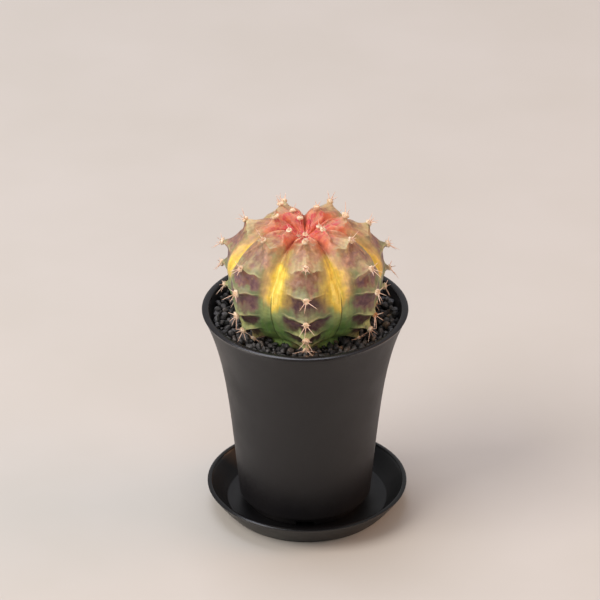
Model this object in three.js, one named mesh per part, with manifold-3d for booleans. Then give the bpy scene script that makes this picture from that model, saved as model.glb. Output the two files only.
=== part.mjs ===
// A small ribbed moon cactus in a flared black plastic pot on a round saucer.
// Millimetres, +Z up. The origin is on the surface it stands on, under the pot's axis.

import * as THREE from 'three';
import { mergeVertices } from 'three/addons/utils/BufferGeometryUtils.js';
import Module from 'manifold-3d';

const wasm = await Module();
wasm.setup();

const ROUND_SEGMENTS = 40;

// Saucer
const SAUCER_LIP_RADIUS = 34.3;
const SAUCER_LIP_WIDTH = 1.5;
const SAUCER_HEIGHT = 9.1;
const SAUCER_FLOOR_RADIUS = 27.9;
const SAUCER_BASE_RADIUS = 27.3;
const SAUCER_FLOOR = 2.1;
const SAUCER_OFFSET = 0.7;
const SAUCER_EDGE_ROUND = 0.35;
const SAUCER_WALL_BEND = 0.85;
const SAUCER_WALL_STEPS = 4;

// Pot
const POT_RIM_RADIUS = 35.1;
const POT_RIM = 76.9;
const POT_BASE_RADIUS = 22.5;
const POT_TAPER = 0.096;
const POT_FLARE_POWER = 4.46;
const POT_BODY_HEIGHT = 71;
const POT_WALL = 1.7;
const POT_LIP_WIDTH = 2.4;
const POT_FLOOR_THICKNESS = 1.8;
const POT_FOOT_RADIUS = 19.6;
const POT_FOOT_WIDTH = 3.2;
const POT_FOOT_NOTCHES = 3;
const POT_FOOT_NOTCH_WIDTH = 6;
const POT_FOOT_NOTCH_HEIGHT = 1.5;
const DRAIN_RADIUS = 3;
const DRAIN_RING_RADIUS = 9.5;
const DRAIN_COUNT = 4;
const POT_EDGE_ROUND = 0.4;
const POT_OUTSIDE_RINGS = [POT_EDGE_ROUND, 25, 42, 54, 62, 67.5];
const POT_INSIDE_RINGS = [68, 62, 53, 40];

// Potting mix and the gravel over it
const GRIT_TOP = POT_RIM - 5.6;
const GRIT_THICKNESS = 3.3;
const GRIT_BANK = 2;
const GRAIN_RADIUS = 1.6;
const GRAIN_LEAST_SHARE = 0.75;
const GRAIN_PITCH = 3.3;
const GRAIN_STRAY = 0.18;
const GRAIN_SINK = 0.25;
const GRAIN_CREST = GRIT_TOP + GRAIN_SINK + GRAIN_RADIUS + 0.4;
const CLEARANCE = 0.35;
const SOIL_RINGS = [40, 53];

// Cactus body, as the curve through the tips of its areoles
const BODY_RADIUS = 29.6;
const BODY_RISE = 22.1;
const BODY_DROP = 24.1;
const BODY_CENTRE = POT_RIM + 13.3;
const BODY_SQUARENESS = 2.33;
const CROWN_DIMPLE_DEPTH = 7.6;
const CROWN_DIMPLE_RADIUS = 7.6;

// Ribs: the direction of each crest in degrees from the front, how far along the rib
// its first areole lies, in steps from one areole to the next, how wide it is beside
// its neighbours, how many degrees its areoles stand to either side in turn, the rows
// of its youngest areoles, and how far rows 0 and 1 are pushed down the rib
const RIBS = [
  { azimuth: 0.6, start: 0, width: 1.1, sway: 0, young: [0], pushed: [0, 0] },
  { azimuth: 54.6, start: 0.44, width: 1, sway: 0.5, young: [0], pushed: [-0.15, 0.03] },
  { azimuth: 105.4, start: -0.14, width: 1, sway: 0.5, young: [0], pushed: [0.04, 0.12] },
  { azimuth: 156.3, start: -0.34, width: 1, sway: 1, young: [], pushed: [0, -0.15] },
  { azimuth: 206, start: 0.05, width: 1, sway: 9, young: [0, 0.45], pushed: [0, 0] },
  { azimuth: 252.8, start: -0.25, width: 1, sway: 1, young: [], pushed: [0, -0.2] },
  { azimuth: 307.7, start: 0.41, width: 1, sway: 0.5, young: [-0.28, 0], pushed: [-0.24, 0.03] },
];
const HALF_RIB = Math.PI / RIBS.length;
const STEPS_PER_RIB = 10;
const AREOLES_PER_RIB = 7;

// Rings of points of the skin: over the crown, in each row, and where it is buried
const CROWN_RINGS = [-0.32, -0.15];
const ROW_RINGS = [0, 0.17, 0.52, 0.83];
const BURIED_RINGS = [7.25, 7.6, 8, 8.4];

// Latitude of each step along a rib, in degrees: an even fall, and a wider gap high up
const FIRST_LATITUDE = 71.4;
const LATITUDE_STEP = 16.4;
const WIDE_GAP = 11.1;
const WIDE_GAP_PLACE = 2.11;
const WIDE_GAP_SPREAD = 0.65;

// Rows of the skin, in areole steps down from the crown: the middle of the crown, the
// stretch where the wide upper tubercles give way to the lower ones, and the ground line
const CROWN_ROW = -0.47;
const UPPER_ROWS_END = 2.2;
const LOWER_ROWS_START = 3.2;
const GROUND_ROW = 6.25;
const BURIED_ROW = 6.95;

// Relief. Levels and depths are shares of the distance from the middle of the body,
// slopes are those of a rib's two flanks, and the rest are shares of a half rib or a row
const NOTCH_DEPTH = 0.062;
const NOTCH_UNDERCUT = 0.2;
const NOTCH_SWEEP_START = 0.5;
const NOTCH_MEAN = 0.5;
const NOTCH_SWEEP_POWER = 2.2;
const RIDGE_SLOPE = 0.6;
const NOTCH_SLOPE = 0.36;
const RIDGE_FADE_START = 0.45;
const RIDGE_FADE_END = 0.85;
const CHEVRON_LIFT = 0.3;
const LOBE_DROP = 0.14;
const LOBE_REACH = 0.8;
const GROOVE_LEVEL = 0.875;
const GROOVE_FOLD_START = 0.8;
const CROWN_GROOVE_LEVEL = 0.8;
const CROWN_FOLD_START = 0.55;
const CREASE_DEPTH = 0.022;
const CREASE_WIDTH = 0.12;
const BURIED_LEVEL = 0.985;
const YOUNG_RADIUS = 8;

// Taproot
const ROOT_NECK_RADIUS = 5.5;
const ROOT_LENGTH = 24;

// Areoles and spines
const AREOLE_UNDER_RIDGE = 0.03;
const AREOLE_RADIUS = 1.4;
const AREOLE_HEIGHT = 1.1;
const YOUNG_AREOLE_RADIUS = 0.8;
const SPINE_LENGTH = 4.6;
const SPINE_SHORTEST = 0.75;
const SPINE_LONGEST = 1.1;
const SPINE_RADIUS = 0.24;
const SPINE_ROOT = 0.5;
const SPINE_SPREAD = 62;
const SPINE_DIRECTIONS = [0, 52, -52, 128, -128];
const SPINE_SCATTER = 14;
const YOUNG_SPINE_SHARE = 0.45;

// A repeatable random number from 0 to 1
function randomSource(seed) {
  let state = seed;
  return () => {
    state = (state * 1664525 + 1013904223) % 4294967296;
    return state / 4294967296;
  };
}

function smoothstep(low, high, value) {
  const x = THREE.MathUtils.clamp((value - low) / (high - low), 0, 1);
  return x * x * (3 - 2 * x);
}

function mix(from, to, share) {
  return from + (to - from) * share;
}

// Joins shared vertices and drops the triangles that this closes up
function closed(geometry) {
  const bare = geometry.clone();
  bare.deleteAttribute('normal');
  bare.deleteAttribute('uv');
  const merged = mergeVertices(bare, 1e-4);
  const index = merged.index.array;
  const kept = [];
  for (let i = 0; i < index.length; i += 3) {
    const [a, b, c] = index.slice(i, i + 3);
    if (a !== b && b !== c && c !== a) kept.push(a, b, c);
  }
  merged.setIndex(kept);
  return merged;
}

function toSolid(geometry) {
  const shell = closed(geometry);
  return new wasm.Manifold(new wasm.Mesh({
    numProp: 3,
    vertProperties: Float32Array.from(shell.attributes.position.array),
    triVerts: Uint32Array.from(shell.index.array),
  }));
}

function toGeometry(solid) {
  const mesh = solid.getMesh();
  const geometry = new THREE.BufferGeometry();
  geometry.setAttribute('position', new THREE.BufferAttribute(mesh.vertProperties, 3));
  geometry.setIndex(new THREE.BufferAttribute(mesh.triVerts, 1));
  geometry.computeVertexNormals();
  return geometry;
}

// Turns a profile of [radius, height] about the Z axis
function turned(profile, segments = ROUND_SEGMENTS) {
  const points = profile.map(([radius, height]) => new THREE.Vector2(radius, height));
  return new THREE.LatheGeometry(points, segments).rotateX(Math.PI / 2);
}

// Saucer: moulded plastic, a flat floor and a leaning wall that curves up to a rounded lip
function saucer() {
  const round = SAUCER_EDGE_ROUND;
  const wallTop = SAUCER_HEIGHT - round;
  const innerLip = SAUCER_LIP_RADIUS - SAUCER_LIP_WIDTH;
  const outer = [];
  const inner = [];
  for (let i = 0; i <= SAUCER_WALL_STEPS; i++) {
    const share = i / SAUCER_WALL_STEPS;
    const lean = Math.pow(share, SAUCER_WALL_BEND);
    outer.push([mix(SAUCER_BASE_RADIUS + round, SAUCER_LIP_RADIUS, lean), mix(round, wallTop, share)]);
    inner.push([mix(SAUCER_FLOOR_RADIUS, innerLip, lean), mix(SAUCER_FLOOR, wallTop, share)]);
  }
  const lip = [[SAUCER_LIP_RADIUS - round, SAUCER_HEIGHT], [innerLip + round, SAUCER_HEIGHT]];
  const underside = [[0, 0], [SAUCER_BASE_RADIUS, 0]];
  return toGeometry(toSolid(turned([...underside, ...outer, ...lip, ...inner.reverse(), [0, SAUCER_FLOOR]])));
}

// Pot: a plain flare that widens fast near the rim, on a notched foot ring
const POT_FLARE = POT_RIM_RADIUS - POT_BASE_RADIUS - POT_TAPER * POT_BODY_HEIGHT;
const POT_BASE = POT_RIM - POT_BODY_HEIGHT;
const POT_FLOOR = POT_BASE + POT_FLOOR_THICKNESS;

function potRadius(height) {
  const up = height - POT_BASE;
  return POT_BASE_RADIUS + POT_TAPER * up + POT_FLARE * Math.pow(up / POT_BODY_HEIGHT, POT_FLARE_POWER);
}

function potInside(height) {
  return potRadius(height) - POT_WALL;
}

function pot() {
  const footInner = POT_FOOT_RADIUS - POT_FOOT_WIDTH;
  const underside = [
    [0, POT_BASE],
    [footInner - POT_EDGE_ROUND, POT_BASE],
    [footInner, SAUCER_FLOOR],
    [POT_FOOT_RADIUS, SAUCER_FLOOR],
    [POT_FOOT_RADIUS + POT_EDGE_ROUND, POT_BASE],
    [POT_BASE_RADIUS - POT_EDGE_ROUND, POT_BASE],
  ];
  const outer = POT_OUTSIDE_RINGS.map((up) => [potRadius(POT_BASE + up), POT_BASE + up]);
  const lip = [
    [POT_RIM_RADIUS, POT_RIM - POT_EDGE_ROUND],
    [POT_RIM_RADIUS - POT_EDGE_ROUND, POT_RIM],
    [POT_RIM_RADIUS - POT_LIP_WIDTH, POT_RIM],
  ];
  const inner = POT_INSIDE_RINGS.map((up) => [potInside(POT_BASE + up), POT_BASE + up]);
  const floor = [[potInside(POT_FLOOR), POT_FLOOR], [0, POT_FLOOR]];
  let body = toSolid(turned([...underside, ...outer, ...lip, ...inner, ...floor]));
  for (let i = 0; i < POT_FOOT_NOTCHES; i++) {
    const gap = new THREE.BoxGeometry(POT_FOOT_NOTCH_WIDTH, 2 * POT_FOOT_WIDTH, 2 * POT_FOOT_NOTCH_HEIGHT);
    gap.translate(0, footInner + POT_FOOT_WIDTH / 2, SAUCER_FLOOR);
    gap.rotateZ((i + 0.5) * 2 * Math.PI / POT_FOOT_NOTCHES);
    body = body.subtract(toSolid(gap));
  }
  for (let i = 0; i < DRAIN_COUNT; i++) {
    const drain = new THREE.CylinderGeometry(DRAIN_RADIUS, DRAIN_RADIUS, 3 * POT_FLOOR_THICKNESS, 8);
    drain.rotateX(Math.PI / 2).translate(DRAIN_RING_RADIUS, 0, POT_FLOOR);
    drain.rotateZ((i + 0.5) * 2 * Math.PI / DRAIN_COUNT);
    body = body.subtract(toSolid(drain));
  }
  return toGeometry(body);
}

// Body outline through the areole tips, at a latitude in radians
function bodyOutline(latitude) {
  const power = 2 / BODY_SQUARENESS;
  const radius = BODY_RADIUS * Math.pow(Math.max(Math.cos(latitude), 0), power);
  const height = Math.pow(Math.abs(Math.sin(latitude)), power);
  if (latitude < 0) return { radius, height: BODY_CENTRE - BODY_DROP * height };
  const dimple = CROWN_DIMPLE_DEPTH * Math.exp(-Math.pow(radius / CROWN_DIMPLE_RADIUS, 2));
  return { radius, height: BODY_CENTRE + BODY_RISE * height - dimple };
}

// Latitude in radians at a number of areole steps from the crown
function latitudeAt(step) {
  const gap = WIDE_GAP * Math.tanh((step - WIDE_GAP_PLACE) / WIDE_GAP_SPREAD);
  const degrees = FIRST_LATITUDE - LATITUDE_STEP * step - gap;
  return THREE.MathUtils.degToRad(Math.min(degrees, 90));
}

// The rib that an azimuth in radians falls on, and how far it is from crest (0) to groove (1)
function ribAt(azimuth) {
  const degrees = THREE.MathUtils.euclideanModulo(THREE.MathUtils.radToDeg(azimuth), 360);
  for (let i = 0; i < RIBS.length; i++) {
    for (const side of [1, -1]) {
      const next = RIBS[(i + side + RIBS.length) % RIBS.length];
      const gap = THREE.MathUtils.euclideanModulo(side * (next.azimuth - RIBS[i].azimuth), 360);
      const half = gap * RIBS[i].width / (RIBS[i].width + next.width);
      const away = THREE.MathUtils.euclideanModulo(side * (degrees - RIBS[i].azimuth), 360);
      if (away <= half + 1e-6) return { rib: RIBS[i], next, across: Math.min(away / half, 1) };
    }
  }
  return null;
}

// Notch between two areoles: quick under the upper one, sweeping out again to the lower one
function notch(share) {
  const under = 1 - Math.pow(1 - Math.min(share / NOTCH_UNDERCUT, 1), 2);
  const swept = Math.max(share - NOTCH_SWEEP_START, 0) / (1 - NOTCH_SWEEP_START);
  return under * (1 - Math.pow(swept, NOTCH_SWEEP_POWER));
}

// How far down a rib its row lies from the body's own, with the crowding of its youngest areoles
function startAt(rib, row) {
  const [inner, outer] = rib.pushed;
  const share = THREE.MathUtils.clamp(row, 0, 1);
  return rib.start + mix(inner, outer, share) * THREE.MathUtils.clamp(2 - row, 0, 1);
}

// Point of the body's skin. The row counts areole steps down from the crown, in line with
// the areoles, and the azimuth is in radians from the front
function skinPoint(row, azimuth) {
  const { rib, next, across } = ribAt(azimuth);
  const toGroove = smoothstep(RIDGE_FADE_START, 1, across);
  const started = smoothstep(CROWN_ROW, 0.3, row);
  const buried = smoothstep(GROUND_ROW, BURIED_ROW, row);
  const upper = 1 - smoothstep(UPPER_ROWS_END, LOWER_ROWS_START, row);

  // How far down the rib this row lies here
  const start = startAt(rib, row);
  const shared = mix(start, (start + startAt(next, row)) / 2, toGroove);
  const lobe = LOBE_DROP * Math.sin(Math.PI * Math.min(across / LOBE_REACH, 1));
  const chevron = mix(CHEVRON_LIFT * across, -lobe, upper) * (1 - toGroove);
  const step = row + (shared - chevron) * started * (1 - buried);
  const outline = bodyOutline(latitudeAt(step));

  // How deep the notch, the flank and the groove are here
  const phase = THREE.MathUtils.euclideanModulo(row + shared - start, 1);
  const cut = mix(notch(phase), NOTCH_MEAN, smoothstep(RIDGE_FADE_START, RIDGE_FADE_END, across));
  const slope = mix(RIDGE_SLOPE, NOTCH_SLOPE, cut);
  const offset = across * HALF_RIB;
  const flank = (1 - NOTCH_DEPTH * cut) / (Math.cos(offset) + slope * Math.sin(offset));
  const groove = mix(GROOVE_LEVEL, CROWN_GROOVE_LEVEL, upper);
  const fold = smoothstep(mix(GROOVE_FOLD_START, CROWN_FOLD_START, upper), 1, across);
  const crease = CREASE_DEPTH * Math.exp(-Math.pow((1 - across) / CREASE_WIDTH, 2));
  const ribbed = mix(flank, groove, fold) - crease;
  const grown = Math.min(outline.radius / YOUNG_RADIUS, 1);
  const level = mix(1 - (1 - ribbed) * grown, BURIED_LEVEL, buried);
  const radius = outline.radius * level;
  const height = BODY_CENTRE + (outline.height - BODY_CENTRE) * level;
  const sway = -THREE.MathUtils.degToRad(rib.sway) * Math.cos(Math.PI * row) * (1 - smoothstep(0, 1, across));
  const turn = azimuth + sway * (1 - buried);
  return new THREE.Vector3(radius * Math.sin(turn), -radius * Math.cos(turn), height);
}

// Rows of the body from the crown down, close together where a ridge overhangs
function bodyRows() {
  const rows = [...CROWN_RINGS];
  for (let i = 0; i < AREOLES_PER_RIB; i++) {
    rows.push(...ROW_RINGS.map((share) => i + share));
  }
  return [...rows, ...BURIED_RINGS];
}

// Azimuths of the columns, spaced so that each crest and each groove has one
function bodyColumns() {
  const columns = [];
  for (let i = 0; i < RIBS.length; i++) {
    const rib = RIBS[i];
    const next = RIBS[(i + 1) % RIBS.length];
    const span = THREE.MathUtils.euclideanModulo(next.azimuth - rib.azimuth, 360);
    const groove = rib.width / (rib.width + next.width);
    for (let j = 0; j < STEPS_PER_RIB; j++) {
      const share = 2 * j / STEPS_PER_RIB;
      const along = share < 1 ? share * groove : groove + (share - 1) * (1 - groove);
      columns.push(THREE.MathUtils.degToRad(rib.azimuth + span * along));
    }
  }
  return columns;
}

// The buried end of the body: its neck and the taproot, as [radius, height]
const BODY_BOTTOM = BODY_CENTRE - BODY_DROP * BURIED_LEVEL;
const ROOT_PROFILE = [
  [0, BODY_BOTTOM - ROOT_LENGTH],
  [0.3 * ROOT_NECK_RADIUS, BODY_BOTTOM - 0.93 * ROOT_LENGTH],
  [0.7 * ROOT_NECK_RADIUS, BODY_BOTTOM - 0.5 * ROOT_LENGTH],
  [ROOT_NECK_RADIUS, BODY_BOTTOM - 0.08 * ROOT_LENGTH],
];

// Body: a turned form whose points are then moved on to the ribbed skin
function bodySolid() {
  const rows = bodyRows().reverse();
  const columns = bodyColumns();
  const blank = [...ROOT_PROFILE, ...rows.map((row) => [1, POT_RIM + 20 - row]), [0, POT_RIM + 40]];
  const geometry = turned(blank, columns.length);
  const position = geometry.attributes.position;
  for (let i = 0; i <= columns.length; i++) {
    const azimuth = columns[i % columns.length];
    for (let j = 0; j < blank.length; j++) {
      const row = rows[j - ROOT_PROFILE.length];
      const point = new THREE.Vector3();
      if (row !== undefined) point.copy(skinPoint(row, azimuth));
      else if (j === blank.length - 1) point.z = bodyOutline(Math.PI / 2).height;
      else point.set(blank[j][0] * Math.sin(azimuth), -blank[j][0] * Math.cos(azimuth), blank[j][1]);
      position.setXYZ(i * blank.length + j, point.x, point.y, point.z);
    }
  }
  return toSolid(geometry);
}

// Places of the areoles: on the crest, just under each ridge, with the directions away
// from the middle of the body, down the rib and across it
function areoles() {
  const places = [];
  for (const rib of RIBS) {
    const azimuth = THREE.MathUtils.degToRad(rib.azimuth);
    const rows = [...rib.young];
    for (let row = 1; row < AREOLES_PER_RIB; row++) rows.push(row);
    for (const row of rows) {
      const point = skinPoint(row + AREOLE_UNDER_RIDGE, azimuth);
      const out = point.clone().sub(new THREE.Vector3(0, 0, BODY_CENTRE)).normalize();
      const across = new THREE.Vector3(-point.y, point.x, 0).normalize();
      const down = across.clone().cross(out).negate();
      const radius = Math.hypot(point.x, point.y);
      const grown = Math.min(radius / YOUNG_RADIUS, 1);
      if (point.z > GRAIN_CREST) places.push({ point, down, across, out, grown });
    }
  }
  return places;
}

// One areole: a low woolly cushion
function cushion({ point, out, grown }) {
  const radius = mix(YOUNG_AREOLE_RADIUS, AREOLE_RADIUS, grown);
  const shape = new THREE.OctahedronGeometry(radius).scale(1, 1, AREOLE_HEIGHT / AREOLE_RADIUS);
  shape.applyQuaternion(new THREE.Quaternion().setFromUnitVectors(new THREE.Vector3(0, 0, 1), out));
  return shape.translate(point.x, point.y, point.z);
}

// One spine: a three-sided needle that leans away from the areole's middle
function spine({ point, down, across, out, grown }, direction, length) {
  const turn = THREE.MathUtils.degToRad(direction);
  const spread = THREE.MathUtils.degToRad(SPINE_SPREAD);
  const side = down.clone().multiplyScalar(Math.cos(turn)).addScaledVector(across, Math.sin(turn));
  const aim = out.clone().multiplyScalar(Math.cos(spread));
  aim.addScaledVector(side, Math.sin(spread)).normalize();
  const lowest = (GRAIN_CREST + GRIT_BANK - point.z) / length;
  if (aim.z < lowest) aim.setZ(0).setLength(Math.sqrt(1 - lowest * lowest)).setZ(lowest);
  const shape = new THREE.ConeGeometry(SPINE_RADIUS, length + SPINE_ROOT, 3);
  shape.translate(0, (length + SPINE_ROOT) / 2 - SPINE_ROOT, 0);
  shape.applyQuaternion(new THREE.Quaternion().setFromUnitVectors(new THREE.Vector3(0, 1, 0), aim));
  return shape.translate(point.x, point.y, point.z);
}

// Cactus: body, areoles and spines grown as one
function cactus() {
  const random = randomSource(7);
  let whole = bodySolid();
  for (const place of areoles()) {
    whole = whole.add(toSolid(cushion(place)));
    for (const direction of SPINE_DIRECTIONS) {
      const age = mix(YOUNG_SPINE_SHARE, 1, place.grown);
      const length = SPINE_LENGTH * age * mix(SPINE_SHORTEST, SPINE_LONGEST, random());
      const scatter = mix(-SPINE_SCATTER, SPINE_SCATTER, random());
      whole = whole.add(toSolid(spine(place, direction + scatter, length)));
    }
  }
  return toGeometry(whole);
}

// Hole that the buried end of the cactus stands in, as [radius, height] from the bottom up
const HOLE_LATITUDES = [-73, -64, -57, -50, -44, -38];

function plantingHole(from, to) {
  const hole = [];
  const add = (radius, height) => {
    if (height > from && height < to) hole.push([radius + CLEARANCE, height]);
  };
  for (const [radius, height] of ROOT_PROFILE.slice(1)) add(radius, height - CLEARANCE);
  for (const degrees of HOLE_LATITUDES) {
    const outline = bodyOutline(THREE.MathUtils.degToRad(degrees));
    add(outline.radius, outline.height - CLEARANCE);
  }
  return hole;
}

function holeRadiusAt(height) {
  const hole = plantingHole(-Infinity, Infinity);
  for (let i = 1; i < hole.length; i++) {
    const [lowRadius, low] = hole[i - 1];
    const [highRadius, high] = hole[i];
    if (height >= low && height <= high) return mix(lowRadius, highRadius, (height - low) / (high - low));
  }
  return hole[hole.length - 1][0];
}

// Potting mix: fills the pot up to the gravel
const SOIL_TOP = GRIT_TOP - GRIT_THICKNESS;

function soil() {
  const tip = ROOT_PROFILE[0][1] - CLEARANCE;
  const outer = [POT_FLOOR, ...SOIL_RINGS.map((up) => POT_BASE + up), SOIL_TOP];
  const wall = outer.map((height) => [potInside(height) - CLEARANCE, height]);
  const hole = plantingHole(tip, SOIL_TOP).reverse();
  const mouth = [holeRadiusAt(SOIL_TOP), SOIL_TOP];
  return toGeometry(toSolid(turned([[0, POT_FLOOR], ...wall, mouth, ...hole, [0, tip]])));
}

// One grain: an uneven stone of eight facets
function stone(random) {
  const size = GRAIN_RADIUS * mix(GRAIN_LEAST_SHARE, 1, random());
  const grain = new THREE.OctahedronGeometry(size);
  grain.scale(1, mix(GRAIN_LEAST_SHARE, 1, random()), mix(GRAIN_LEAST_SHARE, 1, random()));
  return grain.rotateX(random() * Math.PI).rotateY(random() * Math.PI).rotateZ(random() * Math.PI);
}

// Gravel: a layer that rises a little towards the pot's wall, with its upper grains standing proud
function grit() {
  const random = randomSource(21);
  const outer = potInside(SOIL_TOP) - CLEARANCE;
  const outerTop = potInside(GRIT_TOP + GRIT_BANK) - CLEARANCE;
  const hole = plantingHole(SOIL_TOP, GRIT_TOP);
  const inner = [[holeRadiusAt(SOIL_TOP), SOIL_TOP], ...hole, [holeRadiusAt(GRIT_TOP), GRIT_TOP]];
  const layer = [inner[0], [outer, SOIL_TOP], [outerTop, GRIT_TOP + GRIT_BANK], ...inner.reverse()];
  let whole = toSolid(turned(layer));
  const first = holeRadiusAt(GRIT_TOP + GRAIN_RADIUS) + 0.65 * GRAIN_RADIUS;
  const last = outerTop - GRAIN_RADIUS;
  const rings = Math.round((last - first) / (0.8 * GRAIN_PITCH));
  for (let i = 0; i <= rings; i++) {
    const radius = mix(first, last, i / rings);
    const count = Math.round(2 * Math.PI * radius / GRAIN_PITCH);
    for (let j = 0; j < count; j++) {
      const stray = mix(-GRAIN_STRAY, GRAIN_STRAY, random());
      const azimuth = (j + 0.5 * (i % 2) + stray) * 2 * Math.PI / count;
      const height = GRIT_TOP + GRAIN_SINK + GRIT_BANK * i / rings;
      const grain = stone(random).translate(radius * Math.sin(azimuth), -radius * Math.cos(azimuth), height);
      whole = whole.add(toSolid(grain));
    }
  }
  return toGeometry(whole);
}

function part(name, geometry, color, roughness) {
  const material = new THREE.MeshStandardMaterial({ color, roughness, metalness: 0 });
  const mesh = new THREE.Mesh(geometry, material);
  mesh.name = name;
  return mesh;
}

const potted = new THREE.Group();
const saucerPart = part('saucer', saucer(), 0x2e2d30, 0.55);
saucerPart.position.x = SAUCER_OFFSET;
potted.add(saucerPart);
potted.add(part('pot', pot(), 0x353336, 0.6));
potted.add(part('soil', soil(), 0x2b221b, 0.95));
potted.add(part('grit', grit(), 0x26262a, 0.9));
potted.add(part('cactus', cactus(), 0x9a8f4a, 0.5));

export default potted;
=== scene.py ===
import math

import bpy
import numpy as np
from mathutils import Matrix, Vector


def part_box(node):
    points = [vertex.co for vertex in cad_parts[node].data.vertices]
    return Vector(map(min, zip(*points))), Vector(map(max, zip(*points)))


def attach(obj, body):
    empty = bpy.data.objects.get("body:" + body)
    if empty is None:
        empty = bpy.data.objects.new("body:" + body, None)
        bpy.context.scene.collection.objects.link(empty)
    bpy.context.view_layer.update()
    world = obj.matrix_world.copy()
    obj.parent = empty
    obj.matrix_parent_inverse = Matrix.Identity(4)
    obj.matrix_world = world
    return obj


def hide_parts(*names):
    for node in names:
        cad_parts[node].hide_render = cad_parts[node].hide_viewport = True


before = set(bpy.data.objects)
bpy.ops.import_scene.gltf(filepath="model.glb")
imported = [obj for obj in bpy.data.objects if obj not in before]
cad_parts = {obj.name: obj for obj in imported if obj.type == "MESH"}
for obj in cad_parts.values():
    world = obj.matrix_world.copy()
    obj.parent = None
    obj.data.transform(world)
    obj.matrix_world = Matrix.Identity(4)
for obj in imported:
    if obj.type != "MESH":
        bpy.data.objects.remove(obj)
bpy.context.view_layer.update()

# Camera. A long lens two metres off, looking down by 30 degrees, which gives the rim, the
# saucer and the plant the shapes that they have in the photograph.
CAMERA_PITCH = math.radians(29.817)
CAMERA_DISTANCE = 2.03166
CAMERA_AIM = (-0.001734, 0.0, 0.079669)
LENS_MM = 360
SENSOR_MM = 36


def put(name, data):
    """Adds an object to the scene."""
    made = bpy.data.objects.new(name, data)
    bpy.context.scene.collection.objects.link(made)
    return made


lens = bpy.data.cameras.new("camera")
lens.lens = LENS_MM
lens.sensor_width = SENSOR_MM
lens.clip_end = 20
camera = put("camera", lens)
camera.location = (
    CAMERA_AIM[0],
    CAMERA_AIM[1] - CAMERA_DISTANCE * math.cos(CAMERA_PITCH),
    CAMERA_AIM[2] + CAMERA_DISTANCE * math.sin(CAMERA_PITCH),
)
camera.rotation_euler = (math.pi / 2 - CAMERA_PITCH, 0, 0)
bpy.context.scene.camera = camera


# Table top. A pale painted board under everything, matt, with the faint cloudiness
# that a roller leaves. It isn't part of the object.
HALF_TABLE_MM = 3000
TABLE_GAP_MM = 0.02
ROLLER_MARK_MM = 60


def linear(colour):
    """A hex sRGB colour as the linear RGBA that shaders work in."""
    parts = [int(colour[i:i + 2], 16) / 255 for i in (1, 3, 5)]
    return [p / 12.92 if p < 0.04045 else ((p + 0.055) / 1.055) ** 2.4 for p in parts] + [1]


def per_mm(size):
    """Texture scale that makes one feature of a pattern this many millimetres wide."""
    return 1000 / size


def feed(node, links):
    """Sets inputs of a shader node to values or to outputs. A node stands for its first output."""
    for name, value in links.items():
        if isinstance(value, bpy.types.Node):
            value = value.outputs[0]
        if isinstance(value, bpy.types.NodeSocket):
            node.id_data.links.new(value, node.inputs[name])
        else:
            node.inputs[name].default_value = value


def add(tree, kind, links=None, stops=None, **settings):
    """Adds a shader node. Links feed its inputs, stops are a colour ramp's (place, hex colour)
    pairs, and settings are its own properties. A pattern without a vector is laid out in the
    metres of its object."""
    made = tree.nodes.new("ShaderNode" + kind)
    for name, value in settings.items():
        setattr(made, name, value)
    links = dict(links or {})
    if kind in ("TexNoise", "TexVoronoi") and "Vector" not in links:
        links["Vector"] = tree.nodes.new("ShaderNodeTexCoord").outputs["Object"]
    feed(made, links)
    if stops:
        ramp = made.color_ramp.elements
        while len(ramp) < len(stops):
            ramp.new(1)
        for stop, (place, colour) in zip(ramp, stops):
            stop.position = place
            stop.color = linear(colour)
    return made


def new_material(name):
    """An empty node material, with its output and a Principled shader joined to it."""
    material = bpy.data.materials.new(name)
    material.use_nodes = True
    tree = material.node_tree
    tree.nodes.clear()
    surface = add(tree, "BsdfPrincipled")
    add(tree, "OutputMaterial", {"Surface": surface})
    return material, tree, surface


def mesh_object(name, points, faces, material):
    """A smooth mesh from points in millimetres and lists of point numbers."""
    mesh = bpy.data.meshes.new(name)
    mesh.from_pydata((np.asarray(points) / 1000).tolist(), [], faces)
    mesh.validate()
    mesh.shade_smooth()
    mesh.materials.append(material)
    return put(name, mesh)


board_paint, tree, surface = new_material("eggshell painted board")
cloud = add(tree, "TexNoise", {"Scale": per_mm(ROLLER_MARK_MM), "Detail": 3.0})
shade = add(tree, "ValToRGB", {"Fac": cloud}, [(0.35, "#c3c0ba"), (0.65, "#c6c3be")])
feed(surface, {"Base Color": shade, "Roughness": 0.75, "IOR": 1.45})
edges = (-HALF_TABLE_MM, HALF_TABLE_MM)
table_corners = [(x, y, -TABLE_GAP_MM) for x in edges for y in edges]
table = mesh_object("table", table_corners, [(0, 2, 3, 1)], board_paint)

# Light. A large soft box high on the left, weaker ones on the far right, in front and above,
# and an even pale room, which light the tops and left flanks of the ribs most.
sky = bpy.data.worlds.new("studio")
sky.use_nodes = True
feed(sky.node_tree.nodes["Background"], {"Color": linear("#e8e7e8"), "Strength": 0.46})
bpy.context.scene.world = sky


def soft_box(name, place, aim, size, power, colour):
    """A square area light that faces a point."""
    light = bpy.data.lights.new(name, "AREA")
    light.shape = "SQUARE"
    light.size = size
    light.energy = power
    light.color = linear(colour)[:3]
    made = put(name, light)
    made.location = place
    towards = Vector(aim) - Vector(place)
    made.rotation_euler = towards.to_track_quat("-Z", "Y").to_euler()


soft_box("key light", (-1.0, -0.45, 1.05), (0, 0, 0.08), 0.9, 17, "#fff4ea")
soft_box("fill light", (1.15, 0.05, 0.6), (0, 0, 0.08), 0.9, 6.5, "#ffbe8c")
soft_box("front light", (0.2, -1.4, 0.35), (0, 0, 0.08), 1.2, 4.5, "#fff0e0")
soft_box("top light", (-0.2, 0.35, 1.4), (0, 0, 0.09), 0.8, 9, "#f2f3ff")
bpy.context.scene.view_settings.view_transform = "Standard"


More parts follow.
